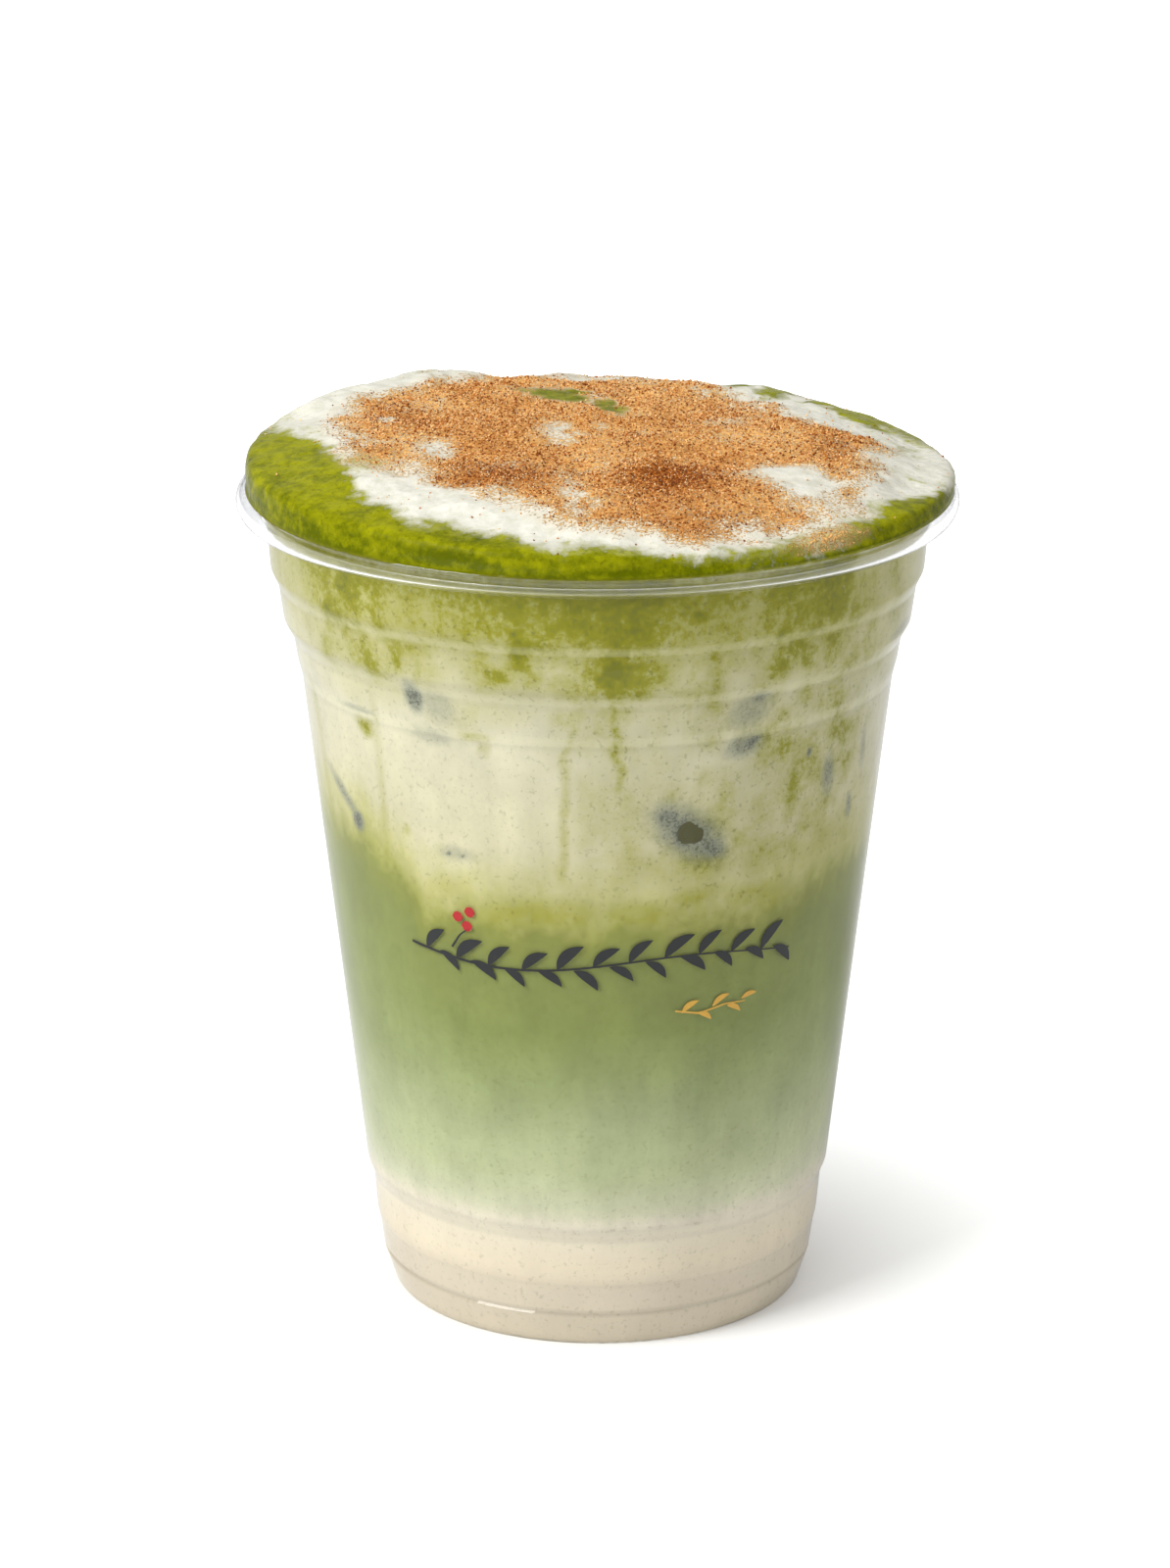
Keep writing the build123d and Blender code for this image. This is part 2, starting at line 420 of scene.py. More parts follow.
# Painted shade and painted highlight of the moulded bands, by height in mm: darker crease lines under
# the bands and lighter shoulders; 0.5 leaves the drink as it is
band_shading = [
    (4.7, 0.48), (5.0, 0.38), (5.25, 0.38), (5.6, 0.49), (9.0, 0.49), (9.3, 0.455), (9.7, 0.51),
    (15.8, 0.51), (16.3, 0.46), (17.2, 0.51), (17.9, 0.475), (18.8, 0.5),
    (87.9, 0.5), (88.4, 0.45), (88.9, 0.53), (89.7, 0.54), (90.5, 0.5),
    (93.6, 0.5), (94.1, 0.45), (94.6, 0.53), (95.4, 0.54), (96.2, 0.5),
    (100.8, 0.5), (101.3, 0.45), (101.8, 0.53), (102.6, 0.54), (103.4, 0.5),
]


def fill_ramp(ramp, stops):
    """Puts these (position, colour) stops on a colour ramp."""
    stones = ramp.color_ramp.elements
    while len(stones) < len(stops):
        stones.new(0.5)
    for stone, (position, paint) in zip(stones, stops):
        stone.position = position
    for stone, (position, paint) in zip(stones, stops):
        stone.color = paint


def mark_on(tree, name):
    """A named value held by the mesh; gives its socket."""
    return place(tree, "ShaderNodeAttribute", attribute_name=name).outputs["Fac"]


def scaled(tree, paint, amount):
    """A colour made lighter or darker by an amount; gives its socket."""
    return place(tree, "ShaderNodeVectorMath", {0: paint, "Scale": amount},
                 operation="SCALE").outputs[0]


layered = bpy.data.node_groups.new("layered_drink", "ShaderNodeTree")
layered.interface.new_socket("Green Share", in_out="INPUT", socket_type="NodeSocketFloat")
layered.interface.new_socket("Clouding", in_out="INPUT", socket_type="NodeSocketFloat")
layered.interface.new_socket("Color", in_out="OUTPUT", socket_type="NodeSocketColor")
given = place(layered, "NodeGroupInput")
where = place_in(layered)
depth_mark = mark_on(layered, "depth")
green_mark = mark_on(layered, "green")
melt_mark = mark_on(layered, "melt")
tall = place(layered, "ShaderNodeMapping", {"Vector": where, "Scale": (1.0, 1.0, 0.5)})
wisps = noise(layered, tall.outputs[0], 380.0, 6.0, 0.68)
wisp = reckon(layered, "SUBTRACT", wisps, 0.5)
stirred = reckon(layered, "MULTIPLY_ADD", wisp, 3.0, depth_mark)
share = reckon(layered, "DIVIDE", stirred, ramp_height)
ramp = place(layered, "ShaderNodeValToRGB", {"Fac": share})
fill_ramp(ramp, [(height / ramp_height, paint) for height, paint in drink_colours])
clouds = noise(layered, where, 110.0, 4.0, 0.55)
cloudy = rescale(layered, clouds, 0.3, 0.7, 0.9, 1.07)
mottles = noise(layered, where, 850.0, 4.0, 0.75)
mottled = rescale(layered, mottles, 0.3, 0.7, 0.94, 1.05)
mottle = reckon(layered, "SUBTRACT", mottles, 0.5)
trails = place(layered, "ShaderNodeMapping", {"Vector": where, "Scale": (1.0, 1.0, 0.2)})
trailing = noise(layered, trails.outputs[0], 260.0, 4.0, 0.6)
trailed = rescale(layered, trailing, 0.3, 0.7, 0.93, 1.06)
light = reckon(layered, "MULTIPLY", cloudy, mottled)
light = reckon(layered, "MULTIPLY", light, trailed)
light = reckon(layered, "SUBTRACT", light, 1.0)
light = reckon(layered, "MULTIPLY_ADD", light, given.outputs["Clouding"], 1.0)
base = scaled(layered, ramp.outputs["Color"], light)
stain = reckon(layered, "MULTIPLY_ADD", wisp, 0.8, 1.0)
stain = reckon(layered, "MULTIPLY_ADD", mottle, 1.9, stain)
stain = reckon(layered, "MULTIPLY", green_mark, stain)
stain = reckon(layered, "MULTIPLY", stain, given.outputs["Green Share"])
pale = rescale(layered, stain, 0.04, 0.7)
pale_green = blend_colours(layered, pale, base, colour(152, 149, 12))
deep = rescale(layered, stain, 0.5, 1.15)
greened = blend_colours(layered, deep, pale_green, colour(114, 115, 2))
grain = reckon(layered, "MULTIPLY_ADD", mottle, 0.9, melt_mark)
hazy = rescale(layered, grain, 0.08, 0.95, 0.0, 0.9)
haze = blend_colours(layered, hazy, greened, colour(130, 134, 118))
pores = noise(layered, where, 2600.0, 2.0, 0.6)
pore = reckon(layered, "SUBTRACT", pores, 0.5)
pore = reckon(layered, "MULTIPLY_ADD", pore, 2.6, melt_mark)
dotted = rescale(layered, pore, 0.8, 1.3, 0.0, 0.8)
melted = blend_colours(layered, dotted, haze, colour(84, 88, 76))
tea_grains = noise(layered, where, 1500.0, 3.0, 0.6)
tea = rescale(layered, tea_grains, 0.58, 0.68)
shown = rescale(layered, stain, 0.0, 0.6, 0.2, 0.55)
fine = reckon(layered, "MULTIPLY", tea, shown)
specked = blend_colours(layered, fine, melted, colour(100, 100, 22))
# Painted shade and painted highlight of the moulded bands: each shoulder is made lighter and paler, with
# a dark crease line under it
height_part = place(layered, "ShaderNodeSeparateXYZ", {"Vector": where})
band_share = reckon(layered, "DIVIDE", height_part.outputs["Z"], ramp_height * mm)
band_shading_ramp = place(layered, "ShaderNodeValToRGB", {"Fac": band_share})
fill_ramp(band_shading_ramp, [(height / ramp_height, (tone, tone, tone, 1.0)) for height, tone in band_shading])
band_shade = reckon(layered, "MULTIPLY", band_shading_ramp.outputs["Color"], 2.0)
band_highlight = rescale(layered, band_shade, 1.02, 1.08, 0.0, 0.26)
highlighted_bands = blend_colours(layered, band_highlight, specked, colour(212, 209, 176))
toned = scaled(layered, highlighted_bands, band_shade)
place(layered, "NodeGroupOutput", {"Color": toned})


def drink_finish(name, green_share, clouding, roughness):
    """Milk seen wet through the plastic, coloured by the layered drink."""
    finish, tree = new_finish(name)
    look = place(tree, "ShaderNodeGroup", node_tree=layered)
    look.inputs["Green Share"].default_value = green_share
    look.inputs["Clouding"].default_value = clouding
    where = place_in(tree)
    froth = noise(tree, where, 260.0, 3.0)
    soft = rescale(tree, froth, 0.0, 1.0, roughness - 0.1, roughness + 0.1)
    lumps = relief(tree, froth, 0.2, 0.3 * mm)
    milk = place(tree, "ShaderNodeBsdfPrincipled",
                 {"Base Color": look.outputs["Color"], "Roughness": soft,
                  "Specular IOR Level": 0.15, "Normal": lumps})
    cover(tree, milk)
    return finish


milk_low, milk_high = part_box("milk_base")
matcha_low, matcha_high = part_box("matcha_milk")
cream_low, cream_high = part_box("cream_milk")

# The milk's underside follows the raised floor of the cup
floor_points = section_points("milk_base")
floor_points = floor_points[floor_points[:, 0] < foot_inside]
floor_line = []
for radius, height in sorted(floor_points.tolist()):
    if 1 * mm < radius and height < 5 * mm:
        sink = wall_reach if height > 4.6 * mm or height < 0.8 * mm else 0.0
        pull = 0.0 if radius < 24 * mm else wall_reach
        floor_line.append((radius - pull, height - sink))
milk_line = [(0.5 * mm, floor_line[0][1]), *floor_line]
milk = fill_layer("sweet_milk", milk_line, milk_low.z - wall_reach, milk_high.z,
                  drink_finish("sweet_milk_look", 0.0, 0.35, 0.45))
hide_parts("milk_base")
matcha = fill_layer("sage_matcha_milk", [], matcha_low.z, matcha_high.z,
                    drink_finish("matcha_milk_look", 1.0, 1.0, 0.5))
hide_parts("matcha_milk")
cream = fill_layer("marbled_cream_milk", [], cream_low.z, cream_high.z,
                   drink_finish("cream_milk_look", 1.0, 0.9, 0.5))
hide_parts("cream_milk")


# Ice: cloudy wet blocks that float in the cream milk. They press against the plastic, and only a few of
# their wet faces show there, through windows in the milk; their clear faces are painted dark olive,
# painted shade of the deep drink seen through the ice.
ice_places = [
    (18, 77, 14.0, 20), (-36, 93, 13.5, 55), (29, 91.5, 13.0, -15), (-60, 76.5, 14.0, 70),
    (-29, 73, 12.5, 10), (49, 82, 12.5, 40), (112, 83, 14.0, 15), (150, 90.5, 13.5, 65),
    (-165, 79, 14.5, -30), (-120, 90.5, 13.5, 5), (-138, 74, 13.0, 45),
]
clear_faces = [
    (18.4, 76, 2.9, 2.4, -30), (112, 83, 2.9, 2.3, 25), (150, 91, 2.2, 2.0, -20),
    (-165, 79, 3.0, 2.4, 32), (-120, 91, 1.8, 1.8, 0),
]
roundness = 0.42
rng = np.random.default_rng(7)


def rounded_block(size, spin, seed):
    """Corners and faces of one worn ice block round its own centre."""
    shape = bmesh.new()
    bmesh.ops.create_cube(shape, size=2.0)
    bmesh.ops.subdivide_edges(shape, edges=shape.edges, cuts=23, use_grid_fill=True)
    corners = np.array([vertex.co for vertex in shape.verts])
    shape.verts.index_update()
    faces = [[vertex.index for vertex in face.verts] for face in shape.faces]
    shape.free()
    core = np.clip(corners, roundness - 1, 1 - roundness)
    out = corners - core
    corners = core + roundness * out / np.linalg.norm(out, axis=1, keepdims=True)
    corners = corners * (1 + 0.05 * uneven(*corners.T, 0.7, seed))[:, None]
    corners = corners * np.array([1.0, 0.9, 0.82]) * size / 2 * mm
    a, b = math.radians(spin), math.radians(spin * 0.6 + 20)
    turn_z = np.array([[math.cos(a), -math.sin(a), 0], [math.sin(a), math.cos(a), 0], [0, 0, 1]])
    turn_x = np.array([[1, 0, 0], [0, math.cos(b), -math.sin(b)], [0, math.sin(b), math.cos(b)]])
    return corners @ turn_z.T @ turn_x.T, faces


block_points, block_faces = [], []
for seed, (at_angle, at_height, size, spin) in enumerate(ice_places):
    corners, faces = rounded_block(size, spin, 20 + seed)
    turn = math.radians(at_angle)
    inward = wall_radius(at_height * mm) - 0.42 * size * mm
    corners = corners + [inward * math.sin(turn), -inward * math.cos(turn), at_height * mm]
    radius = np.hypot(corners[:, 0], corners[:, 1])
    limit = wall_radius(corners[:, 2]) - 0.06 * mm
    corners[:, :2] *= np.minimum(1, limit / radius)[:, None]
    start = sum(len(points) for points in block_points)
    block_points.append(corners)
    block_faces += [[start + index for index in face] for face in faces]
block_points = np.concatenate(block_points)
block_angle = np.degrees(np.arctan2(block_points[:, 0], -block_points[:, 1]))
clear_mark = np.zeros(len(block_points))
for at_angle, at_height, wide, tall, tilt in clear_faces:
    mark = wall_mark(block_angle, block_points[:, 2] / mm, at_angle, at_height, wide, tall, tilt)
    clear_mark = np.maximum(clear_mark, mark)

wet_ice, tree = new_finish("wet_ice")
where = place_in(tree)
window_shade = mark_on(tree, "clear")
grains = noise(tree, where, 1500.0, 3.0)
film = rescale(tree, grains, 0.42, 0.62)
clouded = blend_colours(tree, film, colour(84, 91, 92), colour(134, 141, 140))
# Painted shade: where the ice lies clear against the plastic it is painted dark olive, standing in for
# the shaded drink deep behind it
inside = blend_colours(tree, window_shade, clouded, colour(78, 75, 2))
cracks = relief(tree, grains, 0.3, 0.2 * mm)
wet = rescale(tree, grains, 0.0, 1.0, 0.08, 0.3)
frozen = place(tree, "ShaderNodeBsdfPrincipled",
               {"Base Color": inside, "Roughness": wet, "IOR": 1.31,
                "Transmission Weight": 0.25, "Normal": cracks})
cover(tree, frozen)
ice = new_piece("ice_blocks", block_points, block_faces, {"clear": clear_mark}, wet_ice)
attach(ice, "root")


# Foam cap: thick milk foam spooned on until it swells over the rolled rim, thicker on
# its left. Wet matcha runs through it and pools at its edge, and the middle is dusted
# with brown spice and sugar, whose finest grains are relief on the foam itself.
rim_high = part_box("cup")[1]
foam_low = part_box("foam_cap")[0]
curl_outside = rim_high.x
curl_round = 2.15 * mm
curl_r = curl_outside - curl_round
curl_z = rim_high.z - curl_round
curl_touch = curl_round - 0.15 * mm
cells = 220
spread = 54.0

# Form of the cap's edge round the cup: angle from the front, radius and height of its
# fullest point, height of its top at 44 mm and at 37 mm from the axis, and how far up
# the curl it ends, in degrees
edge_form = [
    (-180, 46.6, 116.4, 119.2, 120.4, 100), (-135, 46.9, 117.2, 120.1, 121.0, 90),
    (-90, 47.5, 117.2, 120.0, 121.0, 74), (-65, 48.1, 116.5, 119.3, 120.7, 46),
    (-45, 48.35, 115.7, 118.5, 120.3, 30), (0, 48.6, 114.5, 117.0, 119.2, 16),
    (45, 48.5, 114.8, 116.8, 118.8, 26), (90, 48.3, 115.3, 117.0, 118.9, 50),
    (135, 46.9, 115.8, 118.8, 120.1, 95),
]


def round_value(angle, column):
    """Smooth value of one column of the edge form at each angle."""
    degrees = np.arange(-180, 180)
    rough = ring_value(degrees, [(row[0], row[column]) for row in edge_form])
    window = np.hanning(57)
    wrapped = np.concatenate([rough[-28:], rough, rough[:28]])
    smooth = np.convolve(wrapped, window / window.sum(), mode="valid")
    return np.interp(angle, degrees, smooth, period=360)


def cap_surface(angle, share):
    """Radius and height of the cap at a share of the way from its crown to the rim."""
    edge_r, edge_z, high_44, high_37, up = (round_value(angle, n) for n in range(1, 6))
    touch, before = np.radians(up), np.radians(up + 9)
    hug = curl_round / mm + 0.3
    last_r = curl_r / mm + curl_touch / mm * np.cos(touch)
    last_z = curl_z / mm + curl_touch / mm * np.sin(touch)
    full = np.ones(len(angle))
    line_r = [0 * full, 12 * full, 25 * full, 37 * full, 44 * full, edge_r - 0.5, edge_r,
              curl_r / mm + hug * np.cos(before), last_r]
    line_z = [121.0 * full, 120.9 + 0.1 * (high_37 - 120), 120.6 + 0.5 * (high_37 - 120),
              high_37, high_44, (edge_z + high_44) / 2 + 0.25, edge_z,
              curl_z / mm + hug * np.sin(before), last_z]
    knots = np.array([0, 12, 25, 37, 44.3, 48, 50.2, 52.2, 54]) / spread
    line_r, line_z = np.array(line_r), np.array(line_z)
    piece = np.clip(np.searchsorted(knots, share, side="right") - 1, 0, len(knots) - 2)
    span = knots[piece + 1] - knots[piece]
    part = (share - knots[piece]) / span
    pick = np.arange(len(share))
    results = []
    for line in (line_r, line_z):
        slope = np.gradient(line, knots, axis=0)
        slope[0] = 0 if line is line_z else slope[0]
        start, end = line[piece, pick], line[piece + 1, pick]
        go, stop = slope[piece, pick] * span, slope[piece + 1, pick] * span
        results.append((2 * part**3 - 3 * part**2 + 1) * start + (part**3 - 2 * part**2 + part) * go
                       + (3 * part**2 - 2 * part**3) * end + (part**3 - part**2) * stop)
    return results


# Flat square net, turned into a round one with even cells
net = np.linspace(-1, 1, cells + 1)
across, along = (side.ravel() for side in np.meshgrid(net, net))
flip = abs(across) >= abs(along)
longer = np.where(flip, across, along)
shorter = np.where(flip, along, across)
slant = np.where(longer == 0, 0, shorter / np.where(longer == 0, 1, longer)) * math.pi / 4
heading = np.where(flip, slant, math.pi / 2 - slant) + np.where(longer < 0, math.pi, 0)
share = abs(longer)
cap_angle = np.degrees((math.pi / 2 + heading) % (2 * math.pi))
cap_angle = (cap_angle + 180) % 360 - 180
cap_r, cap_z = cap_surface(cap_angle, share)
flat_x = share * spread * np.sin(np.radians(cap_angle))
flat_y = -share * spread * np.cos(np.radians(cap_angle))

# Where the wet green begins at the edge, as distance from the axis, and how strong it is
green_border = [
    (-180, 46.5), (-150, 44), (-125, 45), (-112, 47), (-103, 46), (-97, 42.5), (-90, 40.5),
    (-82, 37.5), (-74, 36.5), (-66, 37), (-59, 38.3), (-50, 41), (-41, 42.6), (-30, 43.6),
    (-20, 44.8), (-10, 46), (0, 47), (12, 48), (25, 47.3), (38, 46), (50, 45.3), (60, 45),
    (70, 46.5), (80, 48.5), (95, 48), (108, 43), (122, 41), (135, 44), (155, 46.5),
]
green_power = [
    (-180, 0.45), (-150, 0.6), (-125, 0.5), (-105, 0.5), (-95, 0.75), (-85, 0.95), (-40, 1.0),
    (0, 1.0), (12, 0.95), (25, 0.75), (38, 0.65), (50, 0.8), (60, 1.0), (72, 1.0), (84, 0.6),
    (100, 0.5), (122, 0.7), (150, 0.55),
]
green_spots = [
    (-6, 23.5, 5.0, 3.0, -35, 1.15), (1.6, 16.5, 5.4, 1.7, -72, 1.2), (-3, 26.5, 3.0, 1.8, 0, 0.9),
    (20.5, 37, 7.0, 2.2, 80, 0.95), (25.5, 31, 6.0, 2.2, 75, 0.85), (30.5, 36, 1.4, 1.0, 0, 0.9),
    (30.5, 25, 1.5, 1.2, 0, 1.1), (36, 21, 8.5, 2.8, -60, 0.85), (25.6, -7.5, 2.9, 1.3, 70, 0.5),
    (-30, -15, 6.0, 3.6, 70, 0.55), (6, 42, 2.0, 1.4, 0, 0.5), (-26, 39, 4.0, 1.6, 20, 0.4),
    (40, -30, 6.0, 3.2, 55, 0.5), (22, -1.5, 3.2, 0.9, 0, 0.3),
    (-23, 41, 5.0, 2.2, 10, 0.7), (-31, 34, 4.0, 2.2, 40, 0.6), (-12, 44, 4.0, 1.6, 0, 0.5),
]
# How far the dusting spreads from the axis, round the cap
dust_border = [
    (-150, 37), (-137, 35), (-121, 38.5), (-108, 37), (-96, 35.5), (-86, 33), (-75, 32.5),
    (-62, 32.5), (-50, 31.5), (-38, 33), (-29, 34.5), (-20, 35.1),
    (-13, 38.5), (-7, 41), (0, 42.5), (13, 43.5),
    (23, 44.2), (33, 44.2), (44, 43.3), (51.5, 42.6), (60, 40.3), (77, 36.9), (90, 37.5),
    (98, 37), (105, 31.5), (119, 28.7), (135, 31), (147, 33.3), (154, 38.5), (160, 43), (180, 44),
    (-165, 43),
]
dust_gaps = [
    (-21.5, -10.5, 3.2, 4.2, 0, 0.85), (-5.5, 2, 2.3, 6.8, 5, 0.85), (23.5, -17, 4.6, 6.0, 10, 1.0),
    (28, -22, 4.6, 7.5, -10, 1.0), (-3, -31, 2.0, 9.0, 5, 0.75), (-9, -37, 3.4, 4.2, 0, 0.8),
    (-29, 6, 1.3, 4.6, 10, 0.7), (17, 8.5, 4.6, 3.4, 0, 0.5), (21, 21, 3.4, 6.5, 0, 0.55),
    (0.5, 5, 1.0, 2.4, 0, 0.5), (14, 27, 1.0, 3.6, 0, 0.6), (4, 37, 9.0, 2.4, 0, 0.35),
    (-17, 40, 2.2, 5.0, 0, 0.8), (-5.5, 43, 5.5, 3.0, 0, 0.9), (31, 13, 6.0, 3.0, -30, 0.4),
    (-1, 38.5, 6.0, 3.0, 0, 0.9),
]
dust_piles = [
    (9.5, -21, 7.5, 8.5, 0, 1.0), (-13, -22, 8.5, 7.0, 0, 0.75), (32, -4, 3.0, 7.0, 0, 0.6),
    (-27, 9, 4.5, 12.0, 15, 0.5), (12, -38.5, 15.0, 3.6, 5, 0.55), (9, -32, 7.0, 5.0, 0, 0.5),
    (-12, 3, 8.0, 8.0, 0, 0.25), (-20, -2, 6.0, 5.0, 0, 0.35), (6, -4, 6.0, 6.0, 0, 0.35),
    (0, 40, 40.0, 5.0, 0, 0.3),
]
# Drifts of dusting that lie on the green
dust_drifts = [(29.5, -37.5, 5.0, 2.0, 40, 0.5), (-29, -15, 6.5, 3.4, -55, 0.42)]


def cap_marks(x, y, angle, reach):
    """Green, dusting, piled dusting and mottling on the cap, from flat places in mm."""
    level = np.zeros(len(x))
    big = uneven(x, y, level, 6.0, 11)
    middle = uneven(x, y, level, 2.2, 12)
    small = uneven(x, y, level, 0.8, 13)
    begin = ring_value(angle, green_border) + 1.3 * big + 0.9 * middle + 0.5 * small
    green = ring_value(angle, green_power) * ease(reach, begin - 3.2, begin + 2.8)
    for at_x, at_y, half_long, half_wide, tilt, power in green_spots:
        mark = oval(x - at_x + 1.0 * middle + 0.6 * small, y - at_y + 0.8 * big + 0.6 * small,
                    half_long, half_wide, tilt, 0.8)
        green = np.maximum(green, power * mark)
    mottled = ease(reach, 30, 40) * (0.5 + 0.5 * middle) * (0.5 + 0.5 * big)
    green = np.maximum(green, 0.45 * mottled * (abs(angle) > 75))
    stop = ring_value(angle, dust_border) + 1.5 * big + 1.1 * middle + 0.9 * small
    dusted = 1 - ease(reach, stop - 5.0, stop + 3.6)
    for at_x, at_y, half_long, half_wide, tilt, power in dust_gaps:
        mark = oval(x - at_x + 1.3 * middle, y - at_y + 1.3 * big, half_long, half_wide, tilt, 0.75)
        dusted = dusted * (1 - power * mark)
    dusted = dusted * (0.84 + 0.2 * big + 0.2 * middle)
    piled = 0.16 + 0.22 * big + 0.14 * middle
    for at_x, at_y, half_long, half_wide, tilt, power in dust_piles:
        mark = oval(x - at_x + 1.5 * middle, y - at_y + 1.5 * big, half_long, half_wide, tilt, 0.8)
        piled = np.maximum(piled, power * mark)
    for at_x, at_y, half_long, half_wide, tilt, power in green_spots[:3]:
        mark = oval(x - at_x + 1.0 * middle + 0.6 * small, y - at_y + 0.8 * big + 0.6 * small,
                    half_long, half_wide, tilt, 0.8)
        dusted = dusted * (1 - np.clip(1.2 * mark, 0, 1))
    for at_x, at_y, half_long, half_wide, tilt, power in dust_drifts:
        mark = oval(x - at_x + 1.2 * middle, y - at_y + 1.2 * small, half_long, half_wide, tilt, 0.9)
        dusted = np.maximum(dusted, power * mark)
    return np.clip(green, 0, 1), np.clip(dusted, 0, 1), np.clip(piled, 0, 1)


cap_green, cap_dust, cap_pile = cap_marks(flat_x, flat_y, cap_angle, share * spread)

# Streaks the spoon left in the green, along the edge, plus painted light on the upper part of the roll
# and painted shade that darkens its underside
bow = np.radians(cap_angle) * 46
cap_stir_and_shade = uneven(bow, share * spread * 4, 0.3 * bow, 5.5, 14)
cap_stir_and_shade = cap_stir_and_shade + 0.7 * uneven(flat_x, flat_y, np.zeros(len(share)), 3.0, 15)
cap_stir_and_shade = 0.5 * cap_stir_and_shade + 0.5 * ease(share * spread, 33, 40) - 1.2 * ease(share * spread, 44, 54)

# Wet bubbles gather where the green meets the white at the front
cap_wet = cap_green * (1 - cap_green) * 4 * (1 - ease(abs(cap_angle + 5), 22, 50))

# The cap's swells, lumps, bubbles and the dusting's grainy relief
level = np.zeros(len(share))
swell = 0.65 * uneven(flat_x, flat_y, level, 14.0, 31)
swell = swell + 0.5 * uneven(flat_x, flat_y, level, 6.0, 32)
swell = swell + 1.7 * oval(flat_x + 24, flat_y - 38, 6.0, 6.0, 0, 0.9)
swell = swell + 1.1 * oval(flat_x + 36, flat_y - 25, 11.0, 6.0, 50, 0.9)
lump = 0.27 * uneven(flat_x, flat_y, level, 2.6, 33)
lump = lump + 0.09 * uneven(flat_x, flat_y, level, 1.1, 34)
grainy = cap_dust * (0.10 * uneven(flat_x, flat_y, level, 0.75, 35) + 0.10 + 0.25 * cap_pile)
calm = 1 - ease(share * spread, 46, 52)
proud = (swell * (1 - 0.6 * cap_green) + lump * (1 - 0.5 * cap_green) + grainy) * calm
tip = np.radians(80) * ease(share * spread, 41, 50)
cap_r = cap_r + proud * np.sin(tip)
cap_z = cap_z + proud * np.cos(tip)
turn = np.radians(cap_angle)
cap_points = np.stack([cap_r * np.sin(turn), -cap_r * np.cos(turn), cap_z], -1) * mm

# Rings that carry the cap on round the curl and down inside the neck to the cream
width = cells + 1
border = [*range(0, cells), *range(cells, width * width - 1, width),
          *range(width * width - 1, width * cells, -1), *range(width * cells, 0, -width)]
border_points = cap_points[border]
border_turn = np.radians(cap_angle[border])
touch_from = np.arctan2(border_points[:, 2] - curl_z,
                        np.hypot(border_points[:, 0], border_points[:, 1]) - curl_r)
skirt_points = []
for step in range(1, 9):
    touch = touch_from + (math.pi - touch_from) * step / 8
    radius = curl_r + curl_touch * np.cos(touch)
    skirt_points.append(np.stack([radius * np.sin(border_turn), -radius * np.cos(border_turn),
                                  curl_z + curl_touch * np.sin(touch)], -1))
for height in [*np.linspace(curl_z, foam_low.z, 28)[1:-1], foam_low.z + 0.02 * mm, foam_low.z]:
    radius = wall_radius(min(height, neck_height))
    skirt_points.append(np.stack([radius * np.sin(border_turn), -radius * np.cos(border_turn),
                                  np.full(len(border), height)], -1))
skirt_points = np.concatenate(skirt_points)
skirt_angle = np.degrees(np.arctan2(skirt_points[:, 0], -skirt_points[:, 1]))
skirt_green, skirt_melt, skirt_depth = stains(skirt_angle, skirt_points[:, 2] / mm)
# Painted light: inside the curl the skirt is painted pale milk with little green, lifting the shade that
# the foam overhang casts there so the rolled rim reads bright
curl_painted_light = ease(skirt_points[:, 2] / mm, 111.4, 113.2)
skirt_green = skirt_green * (1 - 0.85 * curl_painted_light)
skirt_depth = skirt_depth + curl_painted_light * (10 - skirt_depth)
foam_points = np.concatenate([cap_points, skirt_points, [[0, 0, foam_low.z]]])
foam_faces = []
for row in range(cells):
    for column in range(cells):
        corner = row * width + column
        foam_faces.append((corner, corner + 1, corner + width + 1, corner + width))
first = len(cap_points)
rows = len(skirt_points) // len(border)
for n in range(len(border)):
    after = (n + 1) % len(border)
    foam_faces.append((border[after], border[n], first + n, first + after))
    end = first + (rows - 1) * len(border)
    foam_faces.append((len(foam_points) - 1, end + after, end + n))
foam_faces += [face[::-1] for face in band_faces(first, rows, len(border))]
nothing = np.zeros(len(skirt_points) + 1)
foam_marks = {
    "green": np.concatenate([cap_green, skirt_green, [0]]),
    "melt": np.concatenate([0 * cap_green, skirt_melt, [0]]),
    "depth": np.concatenate([np.full(len(cap_points), 104), skirt_depth, [100]]),
    "dust": np.concatenate([cap_dust, nothing]),
    "pile": np.concatenate([cap_pile, nothing]),
    "wet": np.concatenate([cap_wet, nothing]),
    "stir": np.concatenate([cap_stir_and_shade, nothing]),
    "under_rim": np.concatenate([ease(share * spread, 52, 54), nothing + 1]),
}

cap_look, tree = new_finish("marbled_foam")
where = place_in(tree)
marks = {name: mark_on(tree, name)
         for name in ("green", "dust", "pile", "wet", "stir", "under_rim")}
bubbles = place(tree, "ShaderNodeTexVoronoi", {"Vector": where, "Scale": 900.0})
froth = noise(tree, where, 600.0, 6.0, 0.7)
sugar = noise(tree, where, 2400.0, 2.0, 0.7)
froth_off = reckon(tree, "SUBTRACT", froth, 0.5)
green_full = reckon(tree, "MULTIPLY_ADD", marks["green"], 1.55, -0.2)
green_line = reckon(tree, "MULTIPLY_ADD", froth_off, 2.0, green_full)
green_mask = rescale(tree, green_line, 0.12, 0.85)
froth_tone = rescale(tree, froth, 0.3, 0.7)
foam_white = blend_colours(tree, froth_tone, colour(210, 208, 190), colour(236, 234, 223))
